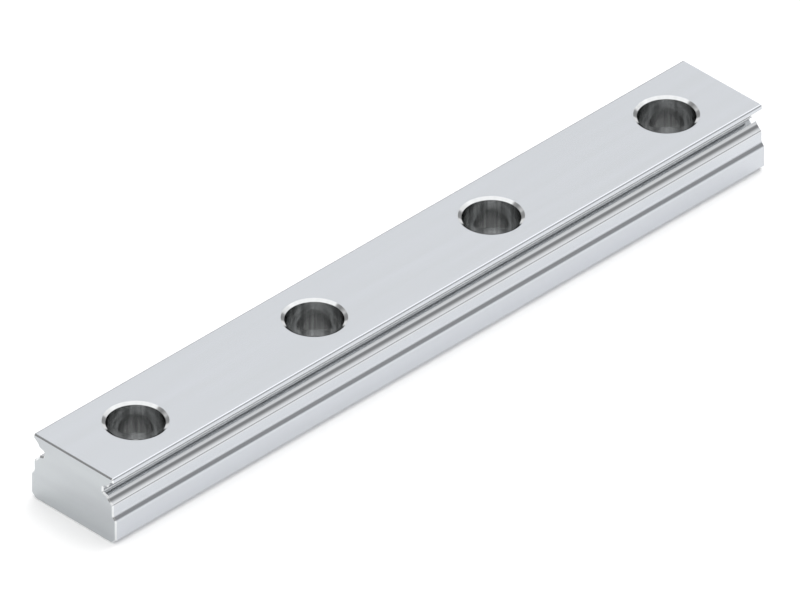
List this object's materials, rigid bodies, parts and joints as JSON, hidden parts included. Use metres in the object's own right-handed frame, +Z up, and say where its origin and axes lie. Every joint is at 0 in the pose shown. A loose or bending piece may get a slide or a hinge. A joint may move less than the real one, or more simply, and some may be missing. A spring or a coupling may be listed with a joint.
{
  "type": "miniature linear guide rail",
  "caption": "Short profiled guide rail with a ball raceway along each side and a row of counterbored screw holes on its centre line.",
  "frame": {"origin": "on the flat mounting face, under the middle of the rail", "axes": "+X along the rail, +Z up out of the counterbores"},
  "size_m": [0.0918, 0.012, 0.0078],
  "materials": {
    "ground_steel": "finely ground, satin"
  },
  "bodies": {
    "root": {"guide_rail": "ground_steel"}
  },
  "joints": []
}
